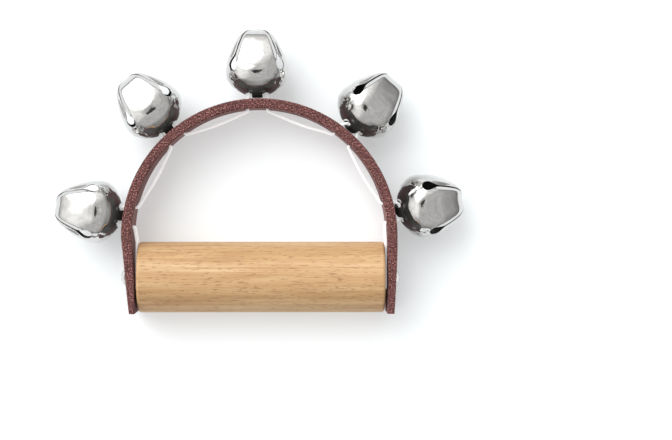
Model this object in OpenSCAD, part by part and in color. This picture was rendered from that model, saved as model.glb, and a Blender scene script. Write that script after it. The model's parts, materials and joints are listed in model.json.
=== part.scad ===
// Sleigh bells: a wooden handle under an arch of leather that carries five bells.
// Millimetres. The origin is the middle of the handle's axis. +X runs along the handle, +Y from the
// handle to the top of the arch, and +Z out of the flat side, which is up when the bells lie on a table.

/* [Handle] */
// Diameter of the wooden dowel
handle_d = 25; // [20:0.5:28]
// Length of the dowel
handle_l = 87; // [86:0.5:87]
// Radius of the dowel's rounded end edges
handle_edge_r = 1; // [0.5:0.25:2]

/* [Strap] */
// Outer radius of the leather arch
arch_r = 48.3; // [48.3:0.1:49]
// Height of the arch's centre over the handle's axis
arch_rise = 14.6; // [13:0.1:18]
// How far the arch's centre stands to the left of the handle's middle
arch_shift = 0.55; // [0:0.05:0.55]
// Thickness of the leather
strap_t = 3.4; // [3:0.1:3.4]
// Width of the leather
strap_w = 20; // [16:0.5:24]
// How far each leg reaches below the handle's axis
leg_drop = 12.5; // [8:0.5:13]

/* [Lacing band] */
// Thickness of the flat band
band_t = 0.75; // [0.5:0.05:0.75]
// Width of the flat band
band_w = 6; // [5:0.25:6]
// Angle at the arch's centre between a bell and each of its two slits
slit_angle = 4.4; // [4.3:0.05:4.6]
// How far the band's ends reach below the handle's axis
band_drop = 4; // [3:0.5:5]

/* [Screws] */
// Diameter of the domed head
screw_head_d = 6.4; // [6:0.1:7]
// Height of the domed head
screw_head_h = 1.6; // [1.3:0.1:1.8]
// Diameter of the shank
screw_d = 3; // [2.5:0.1:3.4]
// Length of the shank under the head
screw_l = 20; // [16:0.5:25]

/* [Bells] */
// Angle at the arch's centre between neighbouring bells
bell_pitch = 40.5; // [39:0.5:42]
// Radius of a bell at its widest
bell_r = 11.1; // [11:0.05:11.2]
// Height of a bell's top over its widest plane
bell_crown = 14.1; // [13.8:0.1:14.3]
// Depth of a bell's bowl under its widest plane
bell_bowl = 7.7; // [7.6:0.05:7.8]
// Thickness of the bell's steel
bell_wall = 0.5; // [0.4:0.05:0.6]
// Diameter of the round hole at the foot of each slot
bell_hole_d = 3.9; // [3.2:0.1:4.1]
// Height of those holes over the widest plane
bell_hole_z = 2.2; // [2:0.1:3]
// Width of the slots between the petals
bell_slot_w = 0.6; // [0.4:0.1:0.8]

/* [Bridges] */
// Width of the bridge in a bell's base
bridge_w = 3.5; // [3:0.1:3.6]
// How far the bridge stands out of the bowl
bridge_rise = 1.55; // [1.5:0.05:1.6]
// Radius of the opening that the bridge spans
bridge_reach = 5.3; // [5.2:0.05:5.4]

/* [Pellets] */
// Diameter of the loose steel ball in each bell
pellet_d = 6; // [5.5:0.1:6.4]

/* [Hidden] */
$fn = 96;
bell_count = 5;
// How each bell lies, from the left one round to the right one: its place along the arch off the even
// spacing, its distance off the leather beyond the gap that all have, its tilt towards the table, and its
// turn about its own axis
bell_shift = [0.5, 0.1, 1, 0.2, 1.5];
bell_lift = [0, 0, 0, 0.7, 0.7];
bell_tilt = [-5, -8, -4, 4, 2.5];
bell_turn = [0, 2, 0, 8.5, 9];

past = 1;          // how far a cut runs past the face it starts from
arch_in = arch_r - strap_t;
handle_end = handle_l / 2;
slit_t = band_t + 0.3;
slit_w = band_w + 0.8;
screw_gap = 0.15;  // round the shank, in the leather, the band and the wood
screw_tip_l = 3;
screw_sink = 0.3;
screw_dome_r = (pow(screw_head_d / 2, 2) + pow(screw_head_h, 2)) / (2 * screw_head_h);
screw_cross_l = 3.4;
screw_cross_w = 0.7;
screw_cross_depth = 0.9;

// A bell's outline: two arcs make the bowl, one the round of the upper half, one each of the four flatter
// petals, and one the top.
bowl_side_r = 6.5;
bowl_side_x = bell_r - bowl_side_r;
bowl_base_r = (pow(bowl_side_x, 2) + pow(bell_bowl, 2) - pow(bowl_side_r, 2))
              / (2 * (bell_bowl - bowl_side_r));
round_r = 22;
petal_r = 17;
petal_bulge = 0.15;
top_r = 20;

bridge_crown = bell_bowl + bridge_rise;
bridge_stand = 0.15; // how far its foot stands out of the bowl, at the rim of the opening
bridge_foot = sqrt(pow(bowl_base_r, 2) - pow(bridge_reach, 2)) - (bowl_base_r - bell_bowl) + bridge_stand;
bridge_arc_r = (pow(bridge_reach, 2) + pow(bridge_crown - bridge_foot, 2))
               / (2 * (bridge_crown - bridge_foot));
bridge_gap = 0.25; // between the bridge and the leather
pivot_r = arch_r + bridge_gap;

// The band's way behind a bridge: where it turns outside the leather, and where it crosses in the bowl
loop_half = 2.85;
loop_depth = 6.65;
turn_gap = 0.08;   // between the band's face and the leather where it turns
turn_r = band_t / 2 + turn_gap;

// Where a pellet's middle may lie: the bell's inside, drawn in by the ball's radius and a little room
pellet_room = pellet_d / 2 + 0.1;

arch_middle = [-arch_shift, arch_rise];
leg_gap = 0.05;    // between the band's end and the leather
leg_l = arch_rise + leg_drop;

function bell_angle(k) = 90 + bell_pitch * ((bell_count + 1) / 2 - k) + bell_shift[k - 1];
function polar(r, a) = arch_middle + r * [cos(a), sin(a)];
function turned(p, a) = [p[0] * cos(a) - p[1] * sin(a), p[0] * sin(a) + p[1] * cos(a)];

// Each leg bends in from the arch's end to where it presses the band on the handle. Side is 1 for the right
// leg and -1 for the left one: where its inner face starts, its radius, and the screw's seat in its outer face
function leg_start(side) = arch_in - side * arch_shift;
function leg_r(side) =
    let (bend = leg_start(side) - handle_end - band_t - leg_gap)
    (pow(leg_l, 2) + pow(bend, 2)) / (2 * bend);
function screw_seat_x(side) =
    leg_start(side) - leg_r(side) + sqrt(pow(leg_r(side) + strap_t, 2) - pow(arch_rise, 2)) - screw_sink;

// A point of bell k's own outline, y across and z outward from its widest plane, seen in the arch's plane
function in_arch(k, y, z) =
    arch_middle + turned([pivot_r + bell_lift[k - 1] + bridge_crown + z, y], bell_angle(k));

// The six points of the band round bell k, from its anticlockwise side to its clockwise side
function loop_points(k) = let (a = bell_angle(k)) [
    polar(arch_in - turn_r, a + slit_angle),
    polar(arch_r + turn_r, a + slit_angle),
    in_arch(k, loop_half, -loop_depth),
    in_arch(k, -loop_half, -loop_depth),
    polar(arch_r + turn_r, a - slit_angle),
    polar(arch_in - turn_r, a - slit_angle)
];

band_end_x = handle_end + band_t / 2;
band_points = [
    [-band_end_x, -band_drop],
    [-band_end_x, handle_d / 2],
    for (k = [1:bell_count]) each loop_points(k),
    [band_end_x, handle_d / 2],
    [band_end_x, -band_drop]
];
band_last = len(band_points) - 1;

// The direction across the band's run from point i, and the way to the corner of its edge at point i
function band_across(i) =
    let (way = band_points[i + 1] - band_points[i])
    turned(way, 90) / norm(way);
function band_mitre(i) =
    let (before = band_across(max(i - 1, 0)), after = band_across(min(i, band_last - 1)))
    (before + after) / (1 + before * after);

// Puts a bell's own frame, with its widest plane at z = 0 and its top at +Z, in its place on the arch
module on_arch(k) {
    translate(arch_middle)
        rotate([0, 0, bell_angle(k)])
            translate([pivot_r, 0, 0])
                rotate([0, bell_tilt[k - 1] + 90, 0])
                    translate([0, 0, bell_lift[k - 1] + bridge_crown])
                        rotate([0, 0, bell_turn[k - 1]])
                            children();
}

// The dowel, with a pilot hole for a screw in each end
module handle() {
    color("burlywood")
        difference() {
            rotate([0, 90, 0])
                rotate_extrude()
                    handle_outline();
            for (side = [-1, 1])
                translate([side * (handle_end - screw_l + past), 0, 0])
                    rotate([0, 90, 0])
                        cylinder(d = screw_d + 2 * screw_gap, h = 2 * screw_l, center = true);
        }
}

module handle_outline() {
    core = handle_end - handle_edge_r;
    translate([0, -handle_end])
        square([handle_d / 2 - handle_edge_r, handle_l]);
    translate([0, -core])
        square([handle_d / 2, 2 * core]);
    for (side = [-1, 1])
        translate([handle_d / 2 - handle_edge_r, side * core])
            circle(r = handle_edge_r);
}

// The leather: a half ring with two legs that lean in a little, slit in pairs and drilled at both ends
module strap() {
    color("sienna")
        difference() {
            linear_extrude(strap_w, center = true)
                strap_outline();
            for (k = [1:bell_count], side = [-1, 1])
                translate(arch_middle)
                    rotate([0, 0, bell_angle(k) + side * slit_angle])
                        translate([arch_r - strap_t / 2, 0, 0])
                            cube([strap_t + 2 * past, slit_t, slit_w], center = true);
            for (side = [-1, 1])
                rotate([0, side * 90, 0]) {
                    cylinder(d = screw_d + 2 * screw_gap, h = arch_r + arch_shift + past);
                    translate([0, 0, screw_seat_x(side)])
                        cylinder(d = screw_head_d + 2 * screw_gap, h = strap_t);
                }
        }
}

module strap_outline() {
    intersection() {
        ring(arch_r, arch_in, arch_middle);
        translate([-2 * arch_r, arch_rise])
            square([4 * arch_r, 2 * arch_r]);
    }
    for (side = [-1, 1])
        mirror([side < 0 ? 1 : 0, 0])
            intersection() {
                ring(leg_r(side) + strap_t, leg_r(side), [leg_start(side) - leg_r(side), arch_rise], $fn = 720);
                translate([0, -leg_drop])
                    square([2 * arch_r, leg_l]);
            }
}

module ring(outer, inner, middle) {
    translate(middle)
        difference() {
            circle(r = outer);
            circle(r = inner);
        }
}

// The band: a strip along its points with mitred corners, and a punched hole for each screw
module lacing_band() {
    color("white")
        difference() {
            linear_extrude(band_w, center = true)
                polygon([
                    for (i = [0:band_last]) band_points[i] + band_mitre(i) * band_t / 2,
                    for (i = [band_last:-1:0]) band_points[i] - band_mitre(i) * band_t / 2
                ]);
            rotate([0, 90, 0])
                cylinder(d = screw_d + 2 * screw_gap, h = 2 * (arch_r + arch_shift), center = true);
        }
}

// A wood screw along +Z, its seat at z = 0: a domed head with a cross recess, and a pointed shank
module screw() {
    color("silver")
        difference() {
            union() {
                intersection() {
                    translate([0, 0, screw_head_h - screw_dome_r])
                        sphere(r = screw_dome_r);
                    cylinder(d = screw_head_d, h = screw_dome_r);
                }
                translate([0, 0, screw_tip_l - screw_l])
                    cylinder(d = screw_d, h = screw_l - screw_tip_l + screw_head_h / 2);
                translate([0, 0, -screw_l])
                    cylinder(d1 = screw_d / 6, d2 = screw_d, h = screw_tip_l);
            }
            for (turn = [0, 90])
                rotate([0, 0, turn])
                    translate([0, 0, screw_head_h])
                        cube([screw_cross_l, screw_cross_w, 2 * screw_cross_depth], center = true);
        }
}

module screw_right() {
    translate([screw_seat_x(1), 0, 0])
        rotate([0, 90, 0])
            screw();
}

module screw_left() {
    translate([-screw_seat_x(-1), 0, 0])
        rotate([0, -90, 0])
            screw();
}

// A bell's solid, or its inside when it is drawn in by the wall
module bell_form(inset) {
    half = bell_r + petal_bulge;
    intersection() {
        rotate_extrude()
            bell_outline(inset);
        petal_space(half - petal_r, petal_r - inset);
        translate([0, 0, bell_crown - top_r])
            sphere(r = top_r - inset);
    }
}

// What four round faces enclose, one face for each petal
module petal_space(middle, r) {
    intersection_for (turn = [0:90:270])
        rotate([0, 0, turn])
            translate([middle, 0, 0])
                rotate([90, 0, 0])
                    cylinder(r = r, h = 4 * bell_r, center = true);
}

// Half of the bell's section, right of its axis: the round upper arc over the bowl's two arcs
module bell_outline(inset) {
    intersection() {
        translate([bell_r - round_r, 0])
            circle(r = round_r - inset);
        square([bell_r, bell_crown]);
    }
    side_r = bowl_side_r - inset;
    blend_x = bowl_side_x * (1 + side_r / (bowl_base_r - bowl_side_r));
    intersection() {
        union() {
            translate([0, -bell_bowl])
                square([blend_x, bell_bowl]);
            translate([bowl_side_x, 0])
                circle(r = side_r);
        }
        translate([0, bowl_base_r - bell_bowl])
            circle(r = bowl_base_r - inset);
        translate([0, -bell_bowl])
            square([bell_r, bell_bowl]);
    }
}

// The bridge: an arched bar across the opening in the base
module bridge() {
    translate([0, 0, bridge_arc_r - bridge_crown])
        rotate([90, 0, 0])
            intersection() {
                linear_extrude(bridge_w, center = true)
                    ring(bridge_arc_r, bridge_arc_r - bell_wall, [0, 0]);
                translate([0, -bridge_arc_r, 0])
                    cube([2 * (bridge_reach + bell_wall), bridge_arc_r, bridge_w], center = true);
            }
}

// One stamped shell: four petals over a bowl with a bridge in its base
module bell_shell(k) {
    color("gainsboro")
        on_arch(k)
            difference() {
                union() {
                    difference() {
                        bell_form(0);
                        translate([0, 0, -bell_bowl - past])
                            cylinder(r = bridge_reach, h = bell_bowl);
                    }
                    bridge();
                }
                bell_form(bell_wall);
                for (turn = [45, 135])
                    rotate([0, 0, turn])
                        translate([0, 0, bell_hole_z]) {
                            rotate([0, 90, 0])
                                cylinder(d = bell_hole_d, h = 3 * bell_r, center = true);
                            translate([-1.5 * bell_r, -bell_slot_w / 2, 0])
                                cube([3 * bell_r, bell_slot_w, bell_crown]);
                        }
            }
}

// The loose ball, where it comes to rest in its bell as the bells lie on a table
module pellet(k) {
    tilt = bell_tilt[k - 1];
    wall_r = (tilt > 0 ? round_r : bowl_side_r) - bell_wall - pellet_room;
    wall_x = tilt > 0 ? bell_r - round_r : bowl_side_x;
    color("dimgray")
        on_arch(k)
            rotate([0, 0, -bell_turn[k - 1]])
                translate([wall_x + wall_r * cos(tilt), 0, wall_r * sin(tilt)])
                    sphere(d = pellet_d);
}

handle();
strap();
lacing_band();
screw_left();
screw_right();
for (k = [1:bell_count]) {
    bell_shell(k);
    pellet(k);
}
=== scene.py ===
"""Sleigh bells: the looks of handle, strap, lacing band, screws and five bells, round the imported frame."""

import json
import math

import bmesh
import bpy
import numpy as np
from mathutils import Matrix, Vector


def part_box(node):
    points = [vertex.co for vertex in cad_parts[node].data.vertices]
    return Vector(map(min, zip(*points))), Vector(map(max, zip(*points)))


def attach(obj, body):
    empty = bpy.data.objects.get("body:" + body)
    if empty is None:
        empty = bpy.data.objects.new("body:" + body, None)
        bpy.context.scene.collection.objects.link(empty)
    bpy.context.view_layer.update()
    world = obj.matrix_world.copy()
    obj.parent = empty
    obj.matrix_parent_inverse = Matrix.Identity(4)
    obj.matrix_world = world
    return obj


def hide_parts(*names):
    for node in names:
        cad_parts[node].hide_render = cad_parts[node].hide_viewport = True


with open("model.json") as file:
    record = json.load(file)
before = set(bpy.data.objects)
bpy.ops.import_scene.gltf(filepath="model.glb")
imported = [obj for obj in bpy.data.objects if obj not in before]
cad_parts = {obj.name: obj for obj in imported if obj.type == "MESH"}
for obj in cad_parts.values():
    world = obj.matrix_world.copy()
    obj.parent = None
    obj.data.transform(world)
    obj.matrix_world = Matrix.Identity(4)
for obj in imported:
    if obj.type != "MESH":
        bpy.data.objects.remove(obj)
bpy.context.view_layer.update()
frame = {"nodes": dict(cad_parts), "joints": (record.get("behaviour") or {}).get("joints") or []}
MM = 0.001
FLOOR_PAINTED_GLOW = 0.32           # painted glow: light the table gives off of its own, which lifts its shadows to white
BAND_PAINTED_GLOW = 0.30            # painted glow on the band, standing in for light let through it

# ---------------------------------------------------------------- sizes, in millimetres, read from the frame
STRAP_LO, STRAP_HI = (np.array(v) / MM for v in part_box("strap"))
HANDLE_LO, HANDLE_HI = (np.array(v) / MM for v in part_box("handle"))
BAND_LO, BAND_HI = (np.array(v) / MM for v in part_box("lacing_band"))
ARCH_R = (STRAP_HI[0] - STRAP_LO[0]) / 2
ARCH_X = (STRAP_HI[0] + STRAP_LO[0]) / 2
ARCH_RISE = STRAP_HI[1] - ARCH_R
STRAP_T = 3.4
STRAP_HALF = STRAP_HI[2]
LEG_END_Y = STRAP_LO[1]
ARCH_IN = ARCH_R - STRAP_T
BAND_HALF = BAND_HI[2]
BAND_T = 0.85
CHORD_SAG = 0.9             # how far the band hangs off the straight way between two bells
SLIT_ANGLE = 4.4            # degrees along the arch from a bell to each of its slits
SLIT_T = 1.05
SLIT_HALF = 3.4
BRIDGE_LOOP = 2.0           # the band's height over the leather behind a bell's bridge, plus half its lift
SHOULDER_LOOP = 1.65        # and its height at the bridge's sides
BRIDGE_CROWN = 9.25         # from a bell's widest plane down to the crown of its bridge
BELLS = (1, 2, 3, 4, 5)
BELL_TURN = {1: 0.0, 2: 2.0, 3: 0.0, 4: 8.5, 5: 9.0}     # degrees about the bell's own axis
BELL_LIFT = {1: 0.6, 2: 0.6, 3: 0.6, 4: 0.7, 5: 0.7}     # off the leather, beyond the CAD's smallest gap
CAMERA_PLACE, CAMERA_AIM = (12.55, 32.6, 649), (26.4, 20.2, 0)
CAMERA_LENS, CAMERA_SENSOR = 98.0, 36.0
FLOOR_DROP = 0.02           # the table top lies this far under the handle
FLOOR_HALF = 1500


# ---------------------------------------------------------------- node trees
class Tree:
    """Short ways to write a node tree."""

    def __init__(self, tree):
        self.tree = tree
        tree.nodes.clear()

    def node(self, kind, **settings):
        made = self.tree.nodes.new(kind)
        for key, value in settings.items():
            setattr(made, key, value)
        return made

    def put(self, socket, value):
        """Links an output, or sets a constant, on an input."""
        if isinstance(value, bpy.types.NodeSocket):
            self.tree.links.new(value, socket)
        elif isinstance(value, (tuple, list)) and len(value) == 3 and socket.type == "RGBA":
            socket.default_value = (*value, 1.0)
        else:
            socket.default_value = value
        return self

    def math(self, operation, a, b=0.0, c=0.0, clamp=False):
        made = self.node("ShaderNodeMath", operation=operation, use_clamp=clamp)
        for socket, value in zip(made.inputs, (a, b, c)):
            self.put(socket, value)
        return made.outputs[0]

    def vector(self, operation, a, b=(0, 0, 0)):
        made = self.node("ShaderNodeVectorMath", operation=operation)
        self.put(made.inputs[0], a)
        self.put(made.inputs[1], b)
        return made.outputs["Value" if operation in ("DOT_PRODUCT", "LENGTH") else "Vector"]

    def mix(self, share, a, b, blend="MIX"):
        made = self.node("ShaderNodeMix", data_type="RGBA", blend_type=blend)
        self.put(made.inputs["Factor"], share)
        self.put(made.inputs["A"], a)
        self.put(made.inputs["B"], b)
        return made.outputs["Result"]

    def step(self, value, low, high, out_low=0.0, out_high=1.0):
        """A smooth step from low to high."""
        made = self.node("ShaderNodeMapRange", interpolation_type="SMOOTHSTEP")
        for name, number in (("Value", value), ("From Min", low), ("From Max", high),
                             ("To Min", out_low), ("To Max", out_high)):
            self.put(made.inputs[name], number)
        return made.outputs["Result"]

    def noise(self, place, scale, detail=2.0, rough=0.5, distort=0.0):
        made = self.node("ShaderNodeTexNoise", noise_dimensions="3D")
        self.put(made.inputs["Vector"], place)
        for name, number in (("Scale", scale), ("Detail", detail), ("Roughness", rough),
                             ("Distortion", distort)):
            self.put(made.inputs[name], number)
        return made.outputs["Fac"]

    def voronoi(self, place, scale, feature="F1"):
        made = self.node("ShaderNodeTexVoronoi", feature=feature)
        self.put(made.inputs["Vector"], place)
        self.put(made.inputs["Scale"], scale)
        return made.outputs["Distance"]

    def ramp(self, value, stops):
        made = self.node("ShaderNodeValToRGB")
        elements = made.color_ramp.elements
        while len(elements) < len(stops):
            elements.new(0.5)
        for element, (place, colour) in zip(elements, stops):
            element.position = place
            element.color = (*colour, 1.0)
        self.put(made.inputs[0], value)
        return made.outputs[0]

    def stretched(self, place, scale):
        made = self.node("ShaderNodeMapping")
        self.put(made.inputs["Vector"], place)
        self.put(made.inputs["Scale"], scale)
        return made.outputs[0]

    def bump(self, height, strength, distance, normal=None):
        made = self.node("ShaderNodeBump")
        self.put(made.inputs["Height"], height)
        self.put(made.inputs["Strength"], strength)
        self.put(made.inputs["Distance"], distance)
        if normal is not None:
            self.put(made.inputs["Normal"], normal)
        return made.outputs[0]


def srgb(r, g, b):
    """A display colour, 0 to 255, as a linear one."""
    return tuple(((c / 255 + 0.055) / 1.055) ** 2.4 if c > 10 else c / 255 / 12.92 for c in (r, g, b))


def new_material(name):
    """(material, tree, principled shader, the object's own coordinates)"""
    material = bpy.data.materials.new(name)
    material.use_nodes = True
    tree = Tree(material.node_tree)
    shader = tree.node("ShaderNodeBsdfPrincipled")
    tree.put(tree.node("ShaderNodeOutputMaterial").inputs["Surface"], shader.outputs[0])
    place = tree.node("ShaderNodeTexCoord").outputs["Object"]
    return material, tree, shader, place


def nickel_material(name, tint, rough, wave):
    """Bright plated steel: fine polishing marks, faint stains and a slightly uneven surface."""
    material, tree, shader, place = new_material(name)
    stain = tree.noise(place, 420.0, 3.0, 0.6)
    tree.put(shader.inputs["Base Color"], tree.mix(stain, tint, tuple(c * 0.9 for c in tint)))
    tree.put(shader.inputs["Metallic"], 1.0)
    haze = tree.noise(place, 900.0, 4.0, 0.65)
    tree.put(shader.inputs["Roughness"], tree.step(haze, 0.3, 0.75, rough * 0.6, rough * 1.5))
    uneven = tree.bump(tree.noise(place, 260.0, 2.0, 0.5), wave, 0.0006)
    marks = tree.noise(tree.stretched(place, (1.0, 1.0, 6.0)), 2200.0, 2.0, 0.7)
    tree.put(shader.inputs["Normal"], tree.bump(marks, 0.05, 0.00005, uneven))
    return material


def inside_dull_shaded_material():
    """The inside of a bell: the plate is thin there and dull, and it is darkened with painted shade of the
    hollow, so the slots show dark.
    """
    material, tree, shader, place = new_material("bell_inside_plate_shaded")
    stain = tree.noise(place, 500.0, 4.0, 0.6)
    # painted shade: the dark greys stand in for the shade inside the bell
    tree.put(shader.inputs["Base Color"], tree.mix(stain, (0.15, 0.145, 0.14), (0.07, 0.068, 0.065)))
    tree.put(shader.inputs["Metallic"], 0.8)
    tree.put(shader.inputs["Roughness"], tree.step(stain, 0.3, 0.7, 0.45, 0.65))
    tree.put(shader.inputs["Normal"], tree.bump(stain, 0.2, 0.0001))
    return material


def steel_material():
    """Plain steel of the loose balls, dulled by knocking about."""
    material, tree, shader, place = new_material("pellet_steel")
    dull = tree.noise(place, 700.0, 4.0, 0.6)
    tree.put(shader.inputs["Base Color"], tree.mix(dull, (0.42, 0.42, 0.43), (0.30, 0.30, 0.31)))
    tree.put(shader.inputs["Metallic"], 1.0)
    tree.put(shader.inputs["Roughness"], tree.step(dull, 0.3, 0.7, 0.25, 0.5))
    tree.put(shader.inputs["Normal"], tree.bump(tree.voronoi(place, 1500.0), 0.2, 0.00005))
    return material


def leather_edge_material():
    """The raw cut edge: packed fibres, speckled dark and light."""
    material, tree, shader, place = new_material("strap_edge")
    speck = tree.noise(place, 2200.0, 2.0, 0.6)
    colour = tree.ramp(speck, [(0.36, srgb(34, 17, 18)), (0.45, srgb(68, 36, 36)), (0.51, srgb(98, 56, 55)),
                               (0.57, srgb(126, 76, 72)), (0.65, srgb(190, 134, 126))])
    cloud = tree.noise(place, 260.0, 2.0, 0.5)
    colour = tree.mix(tree.step(cloud, 0.3, 0.7, 0.0, 0.30), colour, srgb(70, 36, 36))
    tree.put(shader.inputs["Base Color"], colour)
    tree.put(shader.inputs["Roughness"], 0.85)
    tree.put(shader.inputs["Normal"], tree.bump(speck, 0.7, 0.0004))
    return material


def leather_inner_material():
    """The flesh side: mauve-brown, a little napped, with a painted highlight as a paler line along both
    edges.
    """
    material, tree, shader, place = new_material("strap_inner")
    nap = tree.noise(place, 1500.0, 3.0, 0.6)
    colour = tree.mix(nap, srgb(112, 78, 78), srgb(146, 108, 106))
    height = tree.node("ShaderNodeSeparateXYZ")
    tree.put(height.inputs[0], place)
    # painted highlight: a paler line along the top and bottom edges of the face
    rim = tree.step(tree.math("ABSOLUTE", height.outputs["Z"]), 0.0093, 0.0097)
    colour = tree.mix(rim, colour, srgb(176, 128, 124))
    tree.put(shader.inputs["Base Color"], colour)
    tree.put(shader.inputs["Roughness"], 0.8)
    tree.put(shader.inputs["Normal"], tree.bump(nap, 0.4, 0.0003))
    return material


def leather_outer_material():
    """The grain side: dark red, pebbled, turning grey towards both edges as a painted sheen, with a low
    polish.
    """
    material, tree, shader, place = new_material("strap_outer")
    grain = tree.voronoi(place, 900.0)
    colour = tree.mix(tree.noise(place, 300.0, 3.0, 0.6), (0.064, 0.014, 0.015), (0.046, 0.011, 0.012))
    height = tree.node("ShaderNodeSeparateXYZ")
    tree.put(height.inputs[0], place)
    # painted sheen: neutral grey towards the top and bottom edges of the face
    painted_sheen = tree.step(tree.math("ABSOLUTE", height.outputs["Z"]), 0.0030, 0.0068)
    colour = tree.mix(painted_sheen, colour, (0.052, 0.050, 0.049))
    tree.put(shader.inputs["Base Color"], colour)
    tree.put(shader.inputs["Roughness"], tree.step(grain, 0.0, 0.8, 0.34, 0.46))
    tree.put(shader.inputs["Normal"], tree.bump(grain, 0.25, 0.0002))
    return material


def band_material():
    """The white flat band: smooth and translucent, with a painted glow for the light let through it, and a
    hint of drawn streaks along it.
    """
    material, tree, shader, place = new_material("lacing_white")
    streak = tree.noise(tree.stretched(place, (1.0, 1.0, 8.0)), 500.0, 2.0, 0.5)
    tree.put(shader.inputs["Base Color"], tree.mix(streak, (0.84, 0.84, 0.86), (0.76, 0.76, 0.78)))
    tree.put(shader.inputs["Roughness"], tree.step(streak, 0.3, 0.7, 0.30, 0.42))
    # painted glow: emission brightens the band where it lies in the leather's shadow
    tree.put(shader.inputs["Emission Color"], (1.0, 1.0, 1.0))
    tree.put(shader.inputs["Emission Strength"], BAND_PAINTED_GLOW)
    tree.put(shader.inputs["Normal"], tree.bump(streak, 0.15, 0.0001))
    return material


def wood_material():
    """Beech, sanded: pale rings along the length, short dark rays and fine pores."""
    material, tree, shader, place = new_material("handle_beech")
    along = tree.stretched(place, (0.06, 1.0, 1.0))
    ring = tree.noise(along, 330.0, 3.0, 0.55, 0.6)
    colour = tree.ramp(ring, [(0.30, srgb(178, 139, 94)), (0.44, srgb(193, 155, 110)),
                              (0.55, srgb(199, 163, 119)), (0.70, srgb(208, 175, 132))])
    line = tree.noise(tree.stretched(place, (0.012, 1.0, 1.0)), 900.0, 2.0, 0.55, 0.3)
    colour = tree.mix(tree.step(line, 0.54, 0.66, 0.0, 0.45), colour, srgb(163, 123, 80))
    fibre = tree.noise(tree.stretched(place, (0.03, 1.0, 1.0)), 2600.0, 2.0, 0.6)
    colour = tree.mix(tree.step(fibre, 0.35, 0.75, 0.0, 0.30), colour, srgb(166, 125, 82))
    ray = tree.noise(tree.stretched(place, (0.13, 1.0, 1.0)), 2700.0, 1.0, 0.4)
    colour = tree.mix(tree.step(ray, 0.60, 0.68, 0.0, 0.55), colour, srgb(133, 88, 50))
    tree.put(shader.inputs["Base Color"], colour)
    tree.put(shader.inputs["Roughness"], tree.step(fibre, 0.3, 0.7, 0.48, 0.62))
    tree.put(shader.inputs["Normal"], tree.bump(tree.math("ADD", fibre, ray), 0.12, 0.0002))
    return material


def floor_material():
    """A matt white table top, with a painted glow of its own that lifts its shadows towards white."""
    material, tree, shader, place = new_material("table_white")
    tooth = tree.noise(place, 900.0, 2.0, 0.5)
    tree.put(shader.inputs["Base Color"], tree.mix(tooth, (0.675, 0.705, 0.725), (0.655, 0.685, 0.705)))
    # painted glow: emission on the table, which is no lamp, lightening its shadows
    tree.put(shader.inputs["Emission Color"], (1.0, 1.0, 1.0))
    tree.put(shader.inputs["Emission Strength"], FLOOR_PAINTED_GLOW)
    tree.put(shader.inputs["Roughness"], 1.0)
    tree.put(shader.inputs["Specular IOR Level"], 0.0)
    tree.put(shader.inputs["Normal"], tree.bump(tooth, 0.02, 0.0001))
    return material


# ---------------------------------------------------------------- meshes
class Shape:
    """Vertices in millimetres and faces with a material number each."""

    def __init__(self):
        self.points, self.faces, self.marks = [], [], []

    def grid(self, points, mark=0, flip=False, skip=None):
        """A sheet of rows and columns of points. skip says which cells are left out."""
        rows, columns = points.shape[:2]
        first = sum(len(p) for p in self.points)
        self.points.append(points.reshape(-1, 3))
        for i in range(rows - 1):
            for j in range(columns - 1):
                if skip is not None and skip(i, j):
                    continue
                a = first + i * columns + j
                quad = (a, a + 1, a + columns + 1, a + columns)
                self.faces.append(quad[::-1] if flip else quad)
                self.marks.append(mark)

    def build(self, name, materials, matrix=None, weld=0.004):
        points = np.concatenate(self.points)
        if matrix is not None:
            points = points @ matrix[:3, :3].T + matrix[:3, 3]
        mesh = bpy.data.meshes.new(name)
        mesh.from_pydata((points * MM).tolist(), [], self.faces)
        for material in materials:
            mesh.materials.append(material)
        mesh.polygons.foreach_set("material_index", self.marks)
        made = bpy.data.objects.new(name, mesh)
        bpy.context.scene.collection.objects.link(made)
        if weld:
            work = bmesh.new()
            work.from_mesh(mesh)
            bmesh.ops.remove_doubles(work, verts=work.verts, dist=weld * MM)
            bmesh.ops.dissolve_degenerate(work, edges=work.edges, dist=weld * MM / 2)
            work.to_mesh(mesh)
            work.free()
        mesh.shade_smooth()
        return made


def unit(v):
    return v / np.maximum(np.linalg.norm(v, axis=-1, keepdims=True), 1e-12)


def ease(value, low, high):
    t = np.clip((value - low) / (high - low), 0, 1)
    return t * t * (3 - 2 * t)


# ---------------------------------------------------------------- bells
# The bell seen from the side: half its width at heights over its widest plane, up to the roof's edge
PROFILE_Z = (-8.95, -8.6, -7.9, -7.3, -6.7, -5.6, -4.5, -2.2, 0.0, 2.3, 5.1, 7.8, 10.6, 12.9, 14.6)
PROFILE_HALF = (2.6, 4.2, 5.9, 6.9, 7.7, 8.8, 9.7, 10.92, 11.1, 10.75, 10.0, 8.75, 7.2, 5.5, 3.3)
BOTTOM_Z = -8.9
CROWN, ROOF_DROP, ROOF_HALF = 14.4, 1.4, 5.4
HOLE_Z, HOLE_R = 2.2, 1.95
SLOT = 0.32                 # half the slot's width
TAPER = 4.6                 # how far over the hole's middle the slot reaches its own width
WALL = 0.3
STRIP_Z = -6.2              # where the front strip ends over the recessed cheeks
BAR_HALF = 1.775
BAR_STAND = 0.25            # how far the bar stands out of the bowl
RAY_Z = 1.0                 # the height in the bell that the surface's rays start from


def monotone_slopes(x, y):
    """Slopes for a cubic through the points that has no waves between them."""
    step = np.diff(y) / np.diff(x)
    slope = np.zeros_like(y)
    inner = np.where(step[:-1] * step[1:] > 0, 2 / (1 / step[:-1] + 1 / step[1:] + 1e-12), 0)
    slope[1:-1], slope[0], slope[-1] = inner, step[0], step[-1]
    return slope


PROFILE_X, PROFILE_Y = np.array(PROFILE_Z), np.array(PROFILE_HALF)
SLOPES = monotone_slopes(PROFILE_X, PROFILE_Y)


def smooth_max(a, b, k):
    return 0.5 * (a + b + np.sqrt((a - b) ** 2 + k * k))


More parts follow.
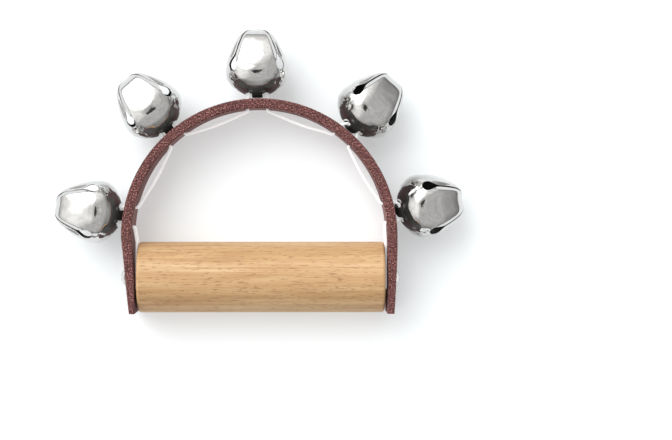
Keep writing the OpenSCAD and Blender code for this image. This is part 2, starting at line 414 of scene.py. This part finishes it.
def half_width(z):
    """From the axis to the middle of a petal, or to the bowl, at height z."""
    z = np.clip(z, PROFILE_X[0], PROFILE_X[-1])
    i = np.clip(np.searchsorted(PROFILE_X, z) - 1, 0, len(PROFILE_X) - 2)
    width = PROFILE_X[i + 1] - PROFILE_X[i]
    t = (z - PROFILE_X[i]) / width
    return ((2 * t ** 3 - 3 * t ** 2 + 1) * PROFILE_Y[i] + (t ** 3 - 2 * t ** 2 + t) * width * SLOPES[i]
            + (3 * t ** 2 - 2 * t ** 3) * PROFILE_Y[i + 1] + (t ** 3 - t ** 2) * width * SLOPES[i + 1])


def squareness(z):
    """The exponent of the section's rounded square: 2 is a circle."""
    return 2.0 + 0.4 * ease(z, -5, 0) + np.where(z > 0, 0.11 * z + 0.004 * z ** 2, 0)


def slot_half(z):
    """Half the width of the opening between two petals: a round hole that tapers up into a slot."""
    below = np.sqrt(np.maximum(HOLE_R ** 2 - (z - HOLE_Z) ** 2, 0))
    t = np.clip((z - HOLE_Z) / TAPER, 0, 1)
    above = SLOT + (HOLE_R - SLOT) * (0.5 + 0.5 * np.cos(math.pi * t)) ** 1.15
    return np.where(z < HOLE_Z, below, above)


def section(theta, z):
    """The radius at an angle theta from a petal's middle and a height z, before dents."""
    a, n = half_width(z), squareness(z)

    def square(t):
        return a / (np.abs(np.cos(t)) ** n + np.abs(np.sin(t)) ** n) ** (1 / n)

    turned = np.interp(z, [-2, 1.5, 6, 10, 13.5], [0.3, 2.0, 1.8, 1.4, 0.9])
    crease = math.pi / 4 - turned / np.maximum(a, 1.5)
    strength = ease(z, -1.2, 1.8)
    past = np.maximum(np.abs(theta) - crease, 0) * a
    cap = square(crease) - (0.30 * past + 0.06 * past ** 2) * strength
    soft = square(theta)
    hard = -smooth_max(-soft, -cap, 0.04)
    return soft + (hard - soft) * strength


def bell_point(psi, theta):
    """Where a ray at angle psi over the plane at RAY_Z meets the surface."""
    low, high = np.zeros_like(psi + theta), np.full_like(psi + theta, 24.0)
    for _ in range(34):
        t = (low + high) / 2
        r, z = t * np.cos(psi), RAY_Z + t * np.sin(psi)
        roof = z - CROWN + ROOF_DROP * (r * np.cos(theta) / ROOF_HALF) ** 3
        out = smooth_max(r - section(theta, z), roof, 0.12) > 0
        high = np.where(out, t, high)
        low = np.where(out, low, t)
    t = (low + high) / 2
    return t * np.cos(psi), RAY_Z + t * np.sin(psi)


def wobble(x, y, seed, sizes):
    """A smooth random field of x and y in millimetres: for each wavelength, its height."""
    rng = np.random.default_rng(seed)
    total = np.zeros_like(x)
    for wavelength, height in sizes:
        for _ in range(5):
            turn, phase = rng.uniform(0, 2 * math.pi, 2)
            k = 2 * math.pi / (wavelength * rng.uniform(0.8, 1.25))
            total = total + height / 2.2 * np.sin(k * (x * math.cos(turn) + y * math.sin(turn)) + phase)
    return total


def dents(theta_abs, z, r, seed):
    """How far the stamped sheet stands off its plain form: soft dents, and folds under the holes."""
    around = theta_abs * 10.5
    soft = wobble(around, z, seed, [(11.0, 0.05), (5.0, 0.012)])
    off = (np.abs((np.degrees(theta_abs) % 90) - 45)) / 45 * 8.3
    fold_place = np.exp(-(off / 1.9) ** 2) * ease(z, -6.2, -3.6) * (1 - ease(z, -0.9, 0.4))
    folds = wobble(around, z * 0.8, seed + 50, [(2.6, 0.18), (1.3, 0.08)]) - 0.14
    return soft * ease(z, -6.5, -4) + folds * fold_place


def quadrant(shape, centre, seed):
    """One petal and the part of the bowl under it, from slot to slot."""
    low_rows = BOTTOM_Z + (HOLE_Z - HOLE_R - 0.02 - BOTTOM_Z) * np.linspace(0, 1, 34) ** 1.7
    hole_rows = HOLE_Z - HOLE_R * np.cos(np.linspace(0, math.pi / 2, 12)[1:])
    mid_rows = np.linspace(HOLE_Z, HOLE_Z + TAPER, 18)[1:]
    z = np.concatenate([low_rows, [HOLE_Z - HOLE_R], hole_rows, mid_rows])
    corner = np.full_like(z, math.pi / 4)
    r = section(corner, z)
    psi = np.arctan2(z - RAY_Z, r)
    top = math.pi / 2 - 0.012
    psi = np.concatenate([psi, np.linspace(psi[-1], top, 34)[1:]])
    edge = np.full_like(psi, math.pi / 4)
    for _ in range(8):
        r, z = bell_point(psi, edge)
        edge = np.maximum(math.pi / 4 - np.arcsin(np.clip(slot_half(z) / np.maximum(r, 1e-6), 0, 0.7071)), 0)
    u = np.linspace(-1, 1, 45)
    u = np.sign(u) * (1 - (1 - np.abs(u)) ** 1.35)
    theta = edge[:, None] * u[None, :]
    psi = np.repeat(psi[:, None], len(u), 1)
    r, z = bell_point(psi, theta)
    step = 1e-3
    r1, z1 = bell_point(psi + step, theta)
    r2, z2 = bell_point(psi, theta + step)

    def spot(r, z, t):
        return np.stack([r * np.cos(t + centre), r * np.sin(t + centre), z], -1)

    points = spot(r, z, theta)
    normal = unit(np.cross(spot(r2, z2, theta + step) - points, spot(r1, z1, theta) - points))
    from_edge = r * (edge[:, None] - np.abs(theta))
    opened = ease(z, HOLE_Z - HOLE_R - 0.1, HOLE_Z - HOLE_R + 0.5)
    lip = 0.13 * np.exp(-(from_edge / 0.35) ** 2) * opened
    across = np.abs(r * np.sin(theta + centre))
    below_strip = 1 - ease(z, STRIP_Z - 0.12, STRIP_Z + 0.12)
    recess = -0.22 * below_strip * ease(across, BAR_HALF - 0.1, BAR_HALF + 0.3)
    ahead = np.abs(r * np.cos(theta + centre))
    rise = 1.9 * (1 - ease(across, 2.0, 4.5)) * (1 - ease(z, -8.3, -7.2)) * (1 - ease(ahead, 3.2, 4.8))
    stand_off = dents(theta + centre, z, r, seed) + lip + recess - rise
    points = points + normal * np.asarray(stand_off)[..., None]
    middle = (points[1:, 1:] + points[:-1, :-1]) / 2
    under_bar = (np.abs(middle[..., 1]) < BAR_HALF - 0.15) & (np.abs(middle[..., 0]) < 5.2)
    under_bar &= middle[..., 2] < STRIP_Z
    shape.grid(points, skip=lambda i, j: under_bar[i, j])


def bridge_bar(shape):
    """The bar across the base, on the leather: it bulges out of the bowl and flares into the wall."""
    x = np.linspace(-6.75, 6.75, 61)
    bowl = np.interp(np.abs(x), [0, *PROFILE_Y[:8]], [-9.0, *PROFILE_X[:8]])
    z = bowl - BAR_STAND + 0.6 * ease(np.abs(x), 4.4, 6.4)
    half = BAR_HALF + 1.6 * ease(np.abs(x), 5.5, 7.3) ** 1.3
    v = np.linspace(-1, 1, 11)
    y = half[:, None] * v[None, :]
    sag = 0.12 * (v ** 6)[None, :]
    points = np.stack([np.repeat(x[:, None], 11, 1), y, z[:, None] + sag + 0 * y], -1)
    shape.grid(points, flip=True)


def bell_matrix(k):
    """A bell's own frame in the row frame, in millimetres, from its hinge."""
    joint = next(j for j in frame["joints"] if j["name"] == f"bell_{k}_rock")
    tilt = -math.radians(sum(joint["range_deg"]) / 2)
    along = np.array(joint["axis"], float)
    out, down = np.array([along[1], -along[0], 0.0]), np.array([0, 0, -1.0])
    z = out * math.cos(tilt) + down * math.sin(tilt)
    x = down * math.cos(tilt) - out * math.sin(tilt)
    turn = math.radians(BELL_TURN[k])
    matrix = np.eye(4)
    matrix[:3, 0] = x * math.cos(turn) + along * math.sin(turn)
    matrix[:3, 1] = -x * math.sin(turn) + along * math.cos(turn)
    matrix[:3, 2] = z
    matrix[:3, 3] = np.array(joint["pos_m"]) / MM + z * (BRIDGE_CROWN + BELL_LIFT[k])
    return matrix


def make_bell(k, materials):
    shape = Shape()
    for quarter in range(4):
        quadrant(shape, quarter * math.pi / 2, seed=k * 10)
    bridge_bar(shape)
    bell = shape.build(f"bell_{k}_stamping", materials, bell_matrix(k))
    wall = bell.modifiers.new("wall", "SOLIDIFY")
    wall.thickness, wall.offset = WALL * MM, -1.0
    # inner faces and cut edges take the dull inside plate, darkened with painted shade
    wall.material_offset = wall.material_offset_rim = 1
    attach(bell, f"bell_{k}")
    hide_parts(f"bell_shell_{k}")
    return bell


# ---------------------------------------------------------------- strap
def polar(r, angle):
    return np.array([ARCH_X + r * math.cos(angle), ARCH_RISE + r * math.sin(angle)])


def bell_angle(k):
    joint = next(j for j in frame["joints"] if j["name"] == f"bell_{k}_rock")
    return math.atan2(joint["pos_m"][1] / MM - ARCH_RISE, joint["pos_m"][0] / MM - ARCH_X)


# Each leg's outer and inner face at heights over the handle's axis, from its end up: (left, right)
LEG_Y = (-12.5, -9.0, -4.0, 0.0, 4.0, 8.0, 11.5)
LEG_OUTER = ((46.15, 46.6, 47.1, 47.45, 47.8, 48.2, 48.6), (46.7, 46.95, 47.2, 47.4, 47.55, 47.7, 47.75))
LEG_INNER = ((44.3, 44.3, 44.3, 44.32, 44.55, 44.85, 45.2), (44.3, 44.3, 44.3, 44.3, 44.3, 44.32, 44.34))


def leg_stations(side):
    """(inner point, outer point) up a leg, side 0 being the left one and 1 the right one."""
    sign = 2 * side - 1
    out = []
    for y in np.linspace(LEG_END_Y, ARCH_RISE - 0.7, 39):
        knots = np.array([*LEG_Y, ARCH_RISE])
        outer = np.interp(y, knots, [*LEG_OUTER[side], sign * ARCH_X + ARCH_R])
        inner = np.interp(y, knots, [*LEG_INNER[side], sign * ARCH_X + ARCH_IN])
        out.append((np.array([sign * inner, y]), np.array([sign * outer, y])))
    return out


def strap_stations():
    """(inner point, outer point) along the strap from its right end to its left, and the slits' places."""
    stations, slits = leg_stations(1), []
    half = SLIT_T / 2 / ARCH_R
    cuts = sorted(bell_angle(k) + side * math.radians(SLIT_ANGLE) for k in BELLS for side in (-1, 1))
    plain = [a for a in np.linspace(0, math.pi, 200) if min(abs(a - c) for c in cuts) > half * 1.6]
    angles = sorted(plain + [c + s * half for c in cuts for s in (-1, 1)])
    for angle in angles:
        if any(abs(angle - c + half) < 1e-9 for c in cuts):
            slits.append(len(stations))
        stations.append((polar(ARCH_IN, angle), polar(ARCH_R, angle)))
    return stations + leg_stations(0)[::-1], slits


def make_strap(materials):
    """The leather: a rounded oblong section swept along the arch, with the slit pairs cut through it."""
    stations, slits = strap_stations()
    top, rim, full = STRAP_HALF, 0.4, STRAP_T
    corner = np.linspace(0, math.pi / 2, 5)
    across, height, marks = [], [], []

    def add(a, h, mark):
        across.append(a), height.append(h), marks.append(mark)

    z_lines = [-top + rim, -7.5, -SLIT_HALF, -1.2, 1.2, SLIT_HALF, 7.5, top - rim]
    for z in z_lines:                                       # up the outer face
        add(STRAP_T, z, 2)
    for c in corner[1:]:
        add(STRAP_T - rim + rim * math.cos(c), top - rim + rim * math.sin(c), 0)
    for s in np.linspace(1, 0, 9)[1:-1]:
        add(rim + (STRAP_T - 2 * rim) * s, top, 0)
    for c in corner[::-1]:
        add(rim - rim * math.cos(c), top - rim + rim * math.sin(c), 0)
    for z in z_lines[-2::-1]:                               # down the inner face
        add(0, z, 1)
    for c in corner[1:]:
        add(rim - rim * math.cos(c), -top + rim - rim * math.sin(c), 0)
    for s in np.linspace(0, 1, 9)[1:-1]:
        add(rim + (STRAP_T - 2 * rim) * s, -top, 0)
    for c in corner[:0:-1]:
        add(STRAP_T - rim + rim * math.cos(c), -top + rim - rim * math.sin(c), 0)
    across, height = np.array(across), np.array(height)
    inner = np.array([s[0] for s in stations])
    way = (np.array([s[1] for s in stations]) - inner) / full
    flat = inner[:, None, :] + way[:, None, :] * across[None, :, None]
    points = np.concatenate([flat, np.repeat(height[None, :, None], len(inner), 0)], -1)
    run = np.concatenate([[0], np.cumsum(np.linalg.norm(np.diff(inner, axis=0), axis=1))])[:, None]
    fuzz = wobble(run + 0 * across, across[None, :] * 2 + height[None, :], 7, [(3.2, 0.05), (1.1, 0.05)])
    is_edge = (np.abs(height) > top - rim - 0.01)[None, :]
    points[..., 2] += fuzz * is_edge * np.sign(height)[None, :]
    shape = Shape()
    n = len(across)
    outer_cols = [i for i in range(len(z_lines)) if abs(z_lines[i]) <= SLIT_HALF + 0.01]
    inner_first = marks.index(1)
    inner_cols = [i for i in range(inner_first - 1, inner_first + 8) if abs(height[i]) <= SLIT_HALF + 0.01
                  and across[i] < 0.01]
    closed = np.concatenate([points, points[:, :1]], 1)
    flat_points = closed.reshape(-1, 3)
    faces, numbers = [], []
    hole_cells = {*outer_cols[:-1], *inner_cols[:-1]}
    for i in range(len(stations) - 1):
        for j in range(n):
            if i in slits and j in hole_cells:
                continue
            a, b = i * (n + 1) + j, (i + 1) * (n + 1) + j
            faces.append((a, a + 1, b + 1, b))
            numbers.append(marks[j] if marks[j] == marks[(j + 1) % n] else 0)
    for i in slits:
        for o1, o2, i1, i2 in zip(outer_cols[:-1], outer_cols[1:],
                                  inner_cols[::-1][:-1], inner_cols[::-1][1:]):
            for station, turn in ((i, 1), (i + 1, -1)):
                base = station * (n + 1)
                faces.append((base + o1, base + o2, base + i2, base + i1)[::turn])
                numbers.append(0)
        for o, inn, turn in ((outer_cols[0], inner_cols[-1], -1), (outer_cols[-1], inner_cols[0], 1)):
            a, b = i * (n + 1), (i + 1) * (n + 1)
            faces.append((a + o, b + o, b + inn, a + inn)[::turn])
            numbers.append(0)
    shape.points.append(flat_points)
    shape.faces, shape.marks = faces, numbers
    for i in (0, len(stations) - 1):                       # the leg ends
        base = i * (n + 1)
        shape.faces.append(tuple(base + j for j in (range(n) if i == 0 else range(n - 1, -1, -1))))
        shape.marks.append(0)
    strap = shape.build("strap_leather", materials)
    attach(strap, "grip")
    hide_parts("strap")
    return strap


# ---------------------------------------------------------------- lacing band
def band_line():
    """The band's middle line, from the left end round to the right one, as points and a radius at each."""
    end_x = HANDLE_HI[0] + BAND_T / 2
    turn = BAND_T / 2 + 0.08
    line = [(np.array([-end_x, BAND_LO[1]]), 0), (np.array([-end_x, HANDLE_HI[1]]), 2.0)]
    slit = math.radians(SLIT_ANGLE)
    for k in BELLS:
        a = bell_angle(k)
        if k > 1:
            before = bell_angle(k - 1)
            low = (ARCH_IN - turn) * math.cos((before - a) / 2 - slit) - CHORD_SAG
            line.append((polar(low, (a + before) / 2), 60.0))

        def by_bell(y, h):
            return polar(ARCH_R + 0.5 * BELL_LIFT[k], a) + h * np.array([math.cos(a), math.sin(a)]) \
                + y * np.array([-math.sin(a), math.cos(a)])

        line += [(polar(ARCH_IN - turn, a + slit), 0.5), (polar(ARCH_R, a + slit), 0.6),
                 (by_bell(2.35, SHOULDER_LOOP), 0.7), (by_bell(1.3, BRIDGE_LOOP), 0.8),
                 (by_bell(-1.3, BRIDGE_LOOP), 0.8), (by_bell(-2.35, SHOULDER_LOOP), 0.7),
                 (polar(ARCH_R, a - slit), 0.6), (polar(ARCH_IN - turn, a - slit), 0.5)]
    line += [(np.array([end_x, HANDLE_HI[1]]), 2.0), (np.array([end_x, BAND_LO[1]]), 0)]
    return line


def rounded(line, steps=5):
    """The line with each corner cut to an arc."""
    out = [line[0][0]]
    for (before, _), (here, radius), (after, _) in zip(line, line[1:], line[2:]):
        back, on = unit(before - here), unit(after - here)
        turn = math.acos(np.clip(-(back @ on), -1, 1))
        reach = min(radius * math.tan(turn / 2), 0.45 * np.linalg.norm(before - here),
                    0.45 * np.linalg.norm(after - here))
        if reach < 1e-3:
            out.append(here)
            continue
        start, end = here + back * reach, here + on * reach
        for t in np.linspace(0, 1, steps):
            out.append((1 - t) ** 2 * start + 2 * t * (1 - t) * here + t * t * end)
    return np.array(out + [line[-1][0]])


def make_band(material):
    """The flat white band, laced through the slits and behind each bell's bridge."""
    path = rounded(band_line())
    ahead = unit(np.gradient(path, axis=0))
    across = np.stack([-ahead[:, 1], ahead[:, 0]], -1)
    half_t, half_w, rim = BAND_T / 2, BAND_HALF, 0.18
    ring = []
    for cx, cz, start in ((half_t - rim, half_w - rim, 0), (-half_t + rim, half_w - rim, 1),
                          (-half_t + rim, -half_w + rim, 2), (half_t - rim, -half_w + rim, 3)):
        for c in np.linspace(0, math.pi / 2, 4) + start * math.pi / 2:
            ring.append((cx + rim * math.cos(c), cz + rim * math.sin(c)))
    ring = np.array(ring + ring[:1])
    flat = path[:, None, :] + across[:, None, :] * ring[None, :, :1]
    points = np.concatenate([flat, np.repeat(ring[None, :, 1:], len(path), 0)], -1)
    shape = Shape()
    shape.grid(points)
    n = len(ring)
    shape.faces += [tuple(range(n - 2, -1, -1)), tuple((len(path) - 1) * n + j for j in range(n - 1))]
    shape.marks += [0, 0]
    band = shape.build("lacing_band_white", [material])
    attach(band, "grip")
    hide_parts("lacing_band")
    return band


# ---------------------------------------------------------------- carried-over nodes
def finish_nodes(finishes):
    """Handle, screws and balls keep their CAD meshes and get their finishes."""
    for name, material in finishes.items():
        node = frame["nodes"][name]
        node.data.materials.clear()
        node.data.materials.append(material)


# ---------------------------------------------------------------- floor, light, camera
def make_floor(material, level):
    shape = Shape()
    side = np.linspace(-FLOOR_HALF, FLOOR_HALF, 7)
    x, y = np.meshgrid(side, side)
    shape.grid(np.stack([x, y, np.full_like(x, level)], -1))
    floor = shape.build("table_top", [material], weld=0)


def make_world():
    """A soft tent: white towards -X and +Y, grey towards +X, mottled above, with the camera's dark spot."""
    world = bpy.data.worlds.new("soft_tent")
    bpy.context.scene.world = world
    world.use_nodes = True
    tree = Tree(world.node_tree)
    way = tree.node("ShaderNodeTexCoord").outputs["Generated"]
    parts = tree.node("ShaderNodeSeparateXYZ")
    tree.put(parts.inputs[0], way)
    up = parts.outputs["Z"]
    bright_side = tree.vector("DOT_PRODUCT", way, (-0.766, 0.643, 0.0))
    level = tree.step(bright_side, -0.15, 0.32, 0.66, 1.35)
    zenith = tree.step(up, 0.93, 0.985)
    mottle = tree.noise(way, 9.0, 4.0, 0.65)
    overhead = tree.step(mottle, 0.35, 0.65, 0.50, 0.95)
    level = tree.math("ADD", tree.math("MULTIPLY", level, tree.math("SUBTRACT", 1.0, zenith)),
                      tree.math("MULTIPLY", overhead, zenith))
    level = tree.math("MULTIPLY", level, tree.step(up, 0.0, 0.60, 0.38, 1.0))
    cloud = tree.noise(way, 6.0, 5.0, 0.7)
    level = tree.math("MULTIPLY", level, tree.step(cloud, 0.3, 0.7, 0.85, 1.15))
    key = tree.step(tree.vector("DOT_PRODUCT", way, tuple(unit(np.array([-0.45, 0.55, 0.70])))), 0.83, 0.985)
    level = tree.math("ADD", level, tree.math("MULTIPLY", key, 3.9))
    ragged = tree.math("ADD", up, tree.math("MULTIPLY", tree.math("SUBTRACT", mottle, 0.5), 0.045))
    spot = tree.step(ragged, 0.9905, 0.9930)
    level = tree.math("MULTIPLY", level, tree.math("SUBTRACT", 1.0, tree.math("MULTIPLY", spot, 0.93)))
    back = tree.node("ShaderNodeBackground")
    tint = tree.node("ShaderNodeCombineColor")
    for channel, share in zip(tint.inputs, (1.0, 0.995, 0.985)):
        tree.put(channel, tree.math("MULTIPLY", level, share))
    tree.put(back.inputs["Color"], tint.outputs[0])
    tree.put(back.inputs["Strength"], 1.0)
    tree.put(tree.node("ShaderNodeOutputWorld").inputs["Surface"], back.outputs[0])


def make_camera():
    """Straight over the object, near the middle of the arch, with a long lens."""
    data = bpy.data.cameras.new("camera")
    data.lens, data.sensor_width = CAMERA_LENS, CAMERA_SENSOR
    data.clip_start, data.clip_end = 0.05, 10
    camera = bpy.data.objects.new("camera", data)
    bpy.context.scene.collection.objects.link(camera)
    bpy.context.scene.camera = camera
    place, aim = Vector(CAMERA_PLACE) * MM, Vector(CAMERA_AIM) * MM
    camera.location = place
    forward = (aim - place).normalized()
    right = forward.cross(Vector((0, 1, 0))).normalized()
    up = right.cross(forward)
    camera.rotation_mode = "QUATERNION"
    camera.rotation_quaternion = Matrix((right, up, -forward)).transposed().to_quaternion()


# ---------------------------------------------------------------- the scene
bell_nickel = nickel_material("bell_nickel_plate", (0.645, 0.637, 0.625), 0.07, 0.10)
bell_inside_dull_shaded = inside_dull_shaded_material()
screw_nickel = nickel_material("screw_nickel_plate", (0.70, 0.69, 0.675), 0.14, 0.05)
for number in BELLS:
    make_bell(number, [bell_nickel, bell_inside_dull_shaded])
make_strap([leather_edge_material(), leather_inner_material(), leather_outer_material()])
make_band(band_material())
finishes = {"handle": wood_material(), "screw_left": screw_nickel, "screw_right": screw_nickel}
pellet_steel = steel_material()
finishes.update({f"pellet_{k}": pellet_steel for k in BELLS})
finish_nodes(finishes)
make_floor(floor_material(), HANDLE_LO[2] - FLOOR_DROP)
make_world()
make_camera()
scene = bpy.context.scene
scene.view_settings.view_transform = "Standard"
bpy.context.view_layer.update()
